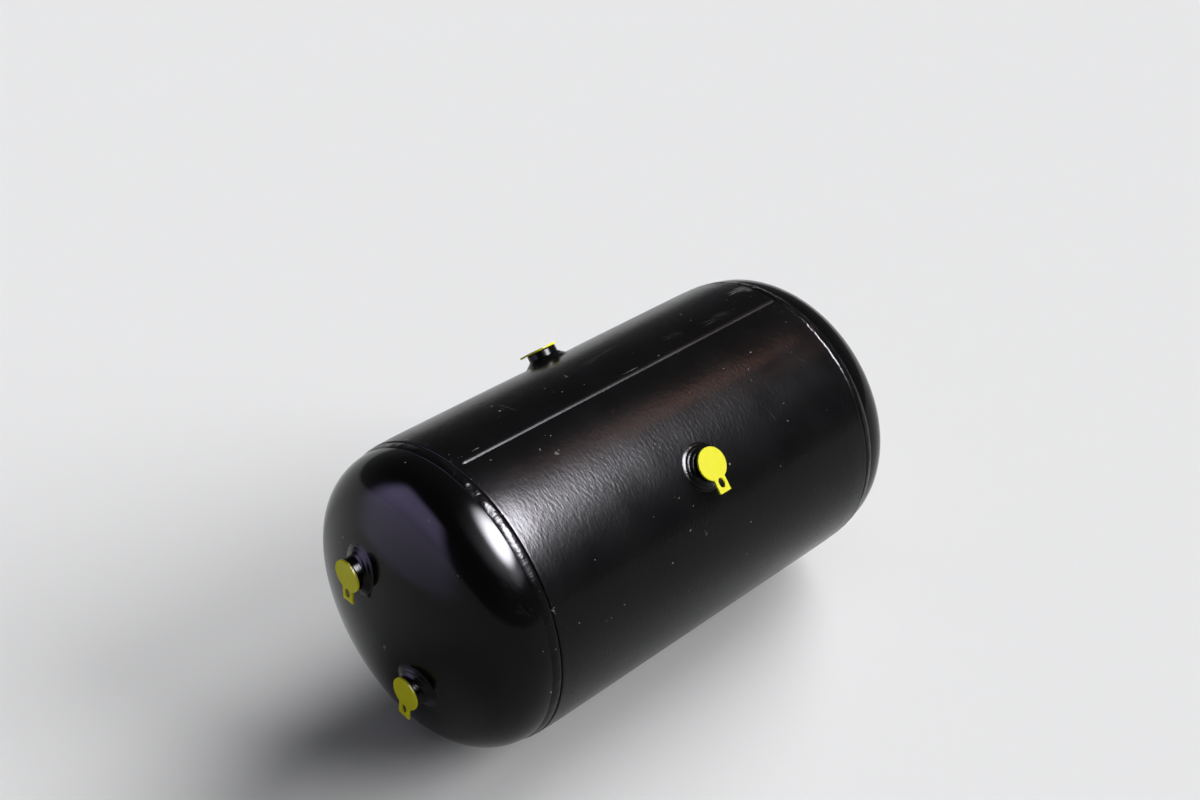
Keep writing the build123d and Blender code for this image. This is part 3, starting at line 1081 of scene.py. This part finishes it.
def cap_outlines():
    """The plate's outline, a disc with a tab, and the outline of its eye."""
    shoulder = asin(TAB_WIDTH / 2 / CAP_RADIUS)
    turn = np.linspace(shoulder, 2 * pi - shoulder, DISC_STEPS)
    disc = np.stack([np.cos(turn), np.sin(turn)], axis=-1) * CAP_RADIUS
    tab = np.array([(TAB_REACH, -TAB_WIDTH / 2), (TAB_REACH, TAB_WIDTH / 2)])
    turn = full_turn(EYE_STEPS)
    middle = TAB_REACH - EYE_MARGIN - EYE_LENGTH / 2
    eye = np.stack([middle + np.cos(turn) * EYE_LENGTH / 2, np.sin(turn) * EYE_WIDTH / 2], axis=-1)
    return np.vstack([disc, tab]), eye


def plate_mesh(name):
    """The cap's plate on its own plane, with small rounded edges."""
    curve = bpy.data.curves.new(name, "CURVE")
    curve.dimensions = "2D"
    curve.fill_mode = "BOTH"
    curve.extrude = CAP_THICKNESS / 2
    for outline in cap_outlines():
        spline = curve.splines.new("POLY")
        spline.points.add(len(outline) - 1)
        for point, (x, y) in zip(spline.points, outline):
            point.co = (x, y, 0.0, 1.0)
        spline.use_cyclic_u = True
    mesh = evaluated(put(curve))
    tidy(mesh)
    mesh.shade_smooth()
    plate = put(mesh)
    bevel = plate.modifiers.new("edges", "BEVEL")
    bevel.width = CAP_EDGE
    bevel.segments = CAP_EDGE_STEPS
    bevel.limit_method = "ANGLE"
    return evaluated(plate)


# %% The caps
STEM_RADIUS = 0.0100
STEM_WALL = 0.0016
STEM_LENGTH = 0.0090
SQUARE = 0.9999


def cap_mesh(name):
    """A cap: its plate on the neck's rim and its hollow stem in the bore."""
    plate = plate_mesh(name)
    plate.transform(Matrix.Translation((0.0, 0.0, NECK_HEIGHT + CAP_THICKNESS / 2)))
    top = NECK_HEIGHT + CAP_THICKNESS / 4
    low = NECK_HEIGHT - STEM_LENGTH
    inner = STEM_RADIUS - STEM_WALL
    stem = turned(f"{name}_stem", [(STEM_RADIUS, top), (inner, top), (inner, low), (STEM_RADIUS, low)])
    joined = bmesh.new()
    joined.from_mesh(plate)
    joined.from_mesh(stem)
    joined.to_mesh(plate)
    joined.free()
    return plate


def flatten(mesh, way):
    """Shades those faces flat that lie square to a way, so that a plate isn't shaded by its round edges."""
    for face in mesh.polygons:
        if abs(face.normal.dot(way)) > SQUARE:
            face.use_smooth = False


for port, place in PORTS.items():
    cap = cap_mesh(f"{port}_plug")
    cap.transform(place)
    made = finish_piece(f"{port}_plug", cap, CAP_PLASTIC, PLASTIC_SLOT, f"{port}_cap")
    flatten(made.data, place.col[2].to_3d())

# %% [markdown]
# ## Weld spatter
# Welding throws off drops of steel that freeze on the sheet, and the paint covers them. They lie thickest
# near the welds. A Geometry Nodes tree scatters points on the outside of the shell, as thick as a value on
# the shell's points says, and puts a small flattened ball on each. The instances are realized, so they stay
# in the exported mesh.

# %% Geometry Nodes: spatter
NIB_SEGMENTS = 8
NIB_RINGS = 5
# the sockets of a Random Value node that are for floats
RANDOM_LOW, RANDOM_HIGH, RANDOM_RESULT = 2, 3, 1


def spatter_tree():
    """Puts small balls on a mesh."""
    tree, given, made = new_group(
        "spatter",
        "GeometryNodeTree",
        {
            "Geometry": GEOMETRY,
            "Density": 1000.0,
            "Smallest": 0.0002,
            "Largest": 0.0005,
            "Flatness": 0.6,
            "Seed": 1,
            "Material": MATERIAL,
        },
        {"Geometry": GEOMETRY},
    )
    thick = times(tree, named(tree, "spatter", "FLOAT"), given["Density"])
    points = node(tree, "GeometryNodeDistributePointsOnFaces", Mesh=given["Geometry"], Density=thick,
                  Seed=given["Seed"]).outputs
    ball = node(tree, "GeometryNodeMeshUVSphere", Segments=NIB_SEGMENTS, Rings=NIB_RINGS, Radius=1.0)
    random = node(tree, "FunctionNodeRandomValue", {"data_type": "FLOAT"}, Seed=given["Seed"])
    feed(tree, random.inputs[RANDOM_LOW], given["Smallest"])
    feed(tree, random.inputs[RANDOM_HIGH], given["Largest"])
    size = random.outputs[RANDOM_RESULT]
    flat = times(tree, size, given["Flatness"])
    scale = node(tree, "ShaderNodeCombineXYZ", X=size, Y=size, Z=flat).outputs[0]
    nibs = node(tree, "GeometryNodeInstanceOnPoints", Points=points["Points"], Instance=ball.outputs[0],
                Rotation=points["Rotation"], Scale=scale)
    end_tree(tree, given, made, nibs.outputs[0])
    return tree


SPATTER = counted(spatter_tree())

# %% The spatter on the shell
SPATTER_EVERYWHERE = 0.012
SPATTER_AT_PORTS = 0.5
SPATTER_AT_SEAM = 0.10
SPATTER_AT_ENDS = 0.12
SPATTER_PORT_REACH = 0.036
SPATTER_WELD_REACH = 0.020
SPATTER_FOOT = 0.010
SPATTER_DROPS = {"density": 18000.0, "smallest": 0.00018, "largest": 0.00075, "seed": 4}


def spatter_share(points):
    """How thick the spatter lies at spots of the shell. There is none where the shell meets the floor."""
    angle = np.arctan2(points[..., 2] - AXIS_HEIGHT, -points[..., 1])
    from_end = SHELL_END - np.abs(points[..., 0])
    from_port = port_distance(points, SHELL_PORTS)
    share = SPATTER_EVERYWHERE + SPATTER_AT_PORTS * hump(from_port, SPATTER_PORT_REACH)
    share += SPATTER_AT_SEAM * hump(seam_distance(angle), SPATTER_WELD_REACH)
    share += SPATTER_AT_ENDS * hump(from_end, SPATTER_WELD_REACH)
    return np.where(points[..., 2] > SPATTER_FOOT, share, 0.0)


outside = shell_points[:SHEET_ROWS]
field = grid_mesh("weld_spatter", outside, spatter=spatter_share(outside))
spatter = grow(field, SPATTER, material=WELD_PAINT, **SPATTER_DROPS)
finish_piece("weld_spatter", spatter, WELD_PAINT, PAINT_SLOT)

# %% [markdown]
# ## Floor and light
# The tank stands on a plain pale floor. To the camera and in gloss the floor is pale, but the light that it
# throws back is only half of that, because light from below would wash out the caps on the heads.

# %% The floor
FLOOR_SIZE = 80.0
FLOOR_COLOUR = (0.86, 0.86, 0.865, 1.0)
FLOOR_BOUNCE = (0.45, 0.45, 0.45, 1.0)
FLOOR_ROUGHNESS = 0.9


def floor_piece():
    """The floor, which is no part of the tank."""
    material, tree, shader = new_material("floor_card")
    rays = node(tree, "ShaderNodeLightPath").outputs
    seen = largest(tree, rays["Is Camera Ray"], rays["Is Glossy Ray"], rays["Is Transmission Ray"])
    feed(tree, shader["Base Color"], mixed(tree, seen, FLOOR_BOUNCE, FLOOR_COLOUR))
    shader["Roughness"].default_value = FLOOR_ROUGHNESS
    shader["Specular IOR Level"].default_value = 0.0
    half = FLOOR_SIZE / 2
    mesh = bpy.data.meshes.new("floor")
    corners = [(-half, -half, 0.0), (half, -half, 0.0), (half, half, 0.0), (-half, half, 0.0)]
    mesh.from_pydata(corners, [], [(0, 1, 2, 3)])
    mesh.materials.append(material)
    floor = put(mesh)
    return floor


print("floor", floor_piece().name)

# %% [markdown]
# Two soft suns light what isn't glossy: one from beyond the far end for the floor, and one from the front
# and the far end for the caps. Black gloss shows its light sources instead, so the lamps that only the
# gloss sees are placed by what the paint mirrors. A broad round lamp over the front gives the highlights,
# and a wide spill and a halo let them run out softly. The halo hangs higher than the others, because lamps
# that overlap at one height lose light. A tall cool panel that stands on the floor behind the near end
# fills the head, and a faint warm strip overhead draws a band along the shell. All of them fade towards
# their edges.

# %% Fades of the lamps
PANEL_FOOT_TOP = 0.2


def from_middle(tree):
    """How far a spot of a lamp is from its middle, sideways and upwards, from -1 to 1, as two sockets."""
    spot = node(tree, "ShaderNodeNewGeometry").outputs["Parametric"]
    parts = node(tree, "ShaderNodeSeparateXYZ", Vector=spot).outputs
    return [calc(tree, "MULTIPLY_ADD", parts[way], 2.0, -1.0) for way in ("X", "Y")]


def round_fade(tree, core):
    """A round lamp's light: full within its core, and fading to its rim."""
    sideways, upwards = from_middle(tree)
    squared = calc(tree, "MULTIPLY_ADD", sideways, sideways, times(tree, upwards, upwards))
    return ramp(tree, calc(tree, "SQRT", squared), core, 1.0, 1.0, 0.0)


def panel_fade(tree, core, foot):
    """A panel's light: full within its core, fading to its sides and its top, and weaker at its foot."""
    sideways, upwards = from_middle(tree)
    wide = ramp(tree, calc(tree, "ABSOLUTE", sideways), core, 1.0, 1.0, 0.0)
    tall = ramp(tree, upwards, core, 1.0, 1.0, 0.0)
    low = ramp(tree, upwards, -1.0, PANEL_FOOT_TOP, foot, 1.0)
    return times(tree, wide, tall, low)


# %% Suns and lamps
SUN_ANGLE = radians(40.0)
CEILING = 1.80
HALO_HEIGHT = 1.95
PANEL_HEIGHT = 1.04
KEY_COLOUR = (0.95, 0.93, 1.0)
SPILL_COLOUR = (0.92, 0.90, 1.0)
COOL_COLOUR = (0.66, 0.57, 1.0)
WARM_COLOUR = (1.0, 0.48, 0.34)


def soft_sun(name, way, strength):
    """An even light from one way, with soft shadows, that neither gloss nor the camera shows."""
    data = bpy.data.lights.new(name, "SUN")
    data.energy = strength
    data.angle = SUN_ANGLE
    made = aimed(data, way, (0.0, 0.0, 0.0))
    made.visible_camera = False
    made.visible_glossy = False
    print(f"{name}: {strength} W per square metre")


def gloss_lamp(name, place, aim, size, radiance, colour, fade, turn=0.0, **fading):
    """A lamp seen only in gloss, as bright as said where its fade is 1."""
    data = bpy.data.lights.new(name, "AREA")
    data.shape = "RECTANGLE"
    data.size, data.size_y = size
    data.color = colour
    data.energy = radiance * pi * size[0] * size[1]
    data.use_nodes = True
    tree = data.node_tree
    feed(tree, tree.nodes["Emission"].inputs["Strength"], fade(tree, **fading))
    made = aimed(data, place, aim, turn)
    made.visible_camera = False
    made.visible_diffuse = False
    print(f"{name}: {data.energy:.1f} W")


def ceiling_lamp(name, x, y, height=CEILING, **lamp):
    """A round gloss lamp that hangs over a spot of the floor and looks straight down."""
    gloss_lamp(name, (x, y, height), (x, y, 0.0), fade=round_fade, **lamp)


soft_sun("far_sun", way=(0.85, 0.10, 0.50), strength=3.1)
soft_sun("front_sun", way=(0.62, -0.66, 0.42), strength=2.5)
ceiling_lamp("key_lamp", x=0.23, y=-1.10, size=(1.60, 2.10), radiance=145.0, colour=KEY_COLOUR, core=0.4)
ceiling_lamp("key_spill", x=0.40, y=-2.00, size=(2.60, 3.20), radiance=10.0, colour=SPILL_COLOUR, core=0.0)
ceiling_lamp(
    "key_halo", x=-0.65, y=-1.50, height=HALO_HEIGHT, size=(2.40, 3.20), radiance=4.5, colour=SPILL_COLOUR,
    core=0.0
)
gloss_lamp(
    "cool_panel", place=(-0.88, 0.375, PANEL_HEIGHT / 2), aim=(-0.31, -0.055, PANEL_HEIGHT / 2),
    size=(0.92, PANEL_HEIGHT), radiance=7.5, colour=COOL_COLOUR, fade=panel_fade, core=0.5, foot=0.15
)
ceiling_lamp(
    "warm_strip", x=1.37, y=-0.36, size=(1.90, 0.19), radiance=17.0, colour=WARM_COLOUR, core=0.2,
    turn=radians(-40.8)
)

# %% [markdown]
# The world is a faint cool glow that grows a little towards the horizon, so that the gloss is nowhere quite
# dead. The Standard view shows colours as they are written.

# %% The world
WORLD_COLOUR = (0.93, 0.95, 1.0, 1.0)
WORLD_STRENGTH = 0.10
HORIZON_STRENGTH = 0.18
HORIZON_RISE = 0.5

world = bpy.data.worlds.new("studio")
world.use_nodes = True
sky = world.node_tree
background = sky.nodes["Background"].inputs
background["Color"].default_value = WORLD_COLOUR
view = node(sky, "ShaderNodeTexCoord").outputs["Generated"]
rise = node(sky, "ShaderNodeSeparateXYZ", Vector=view).outputs["Z"]
feed(sky, background["Strength"], ramp(sky, rise, 0.0, HORIZON_RISE, HORIZON_STRENGTH, WORLD_STRENGTH))
bpy.context.scene.world = world
bpy.context.scene.view_settings.view_transform = "Standard"
print(f"world: {HORIZON_STRENGTH} at the horizon, {WORLD_STRENGTH} overhead")
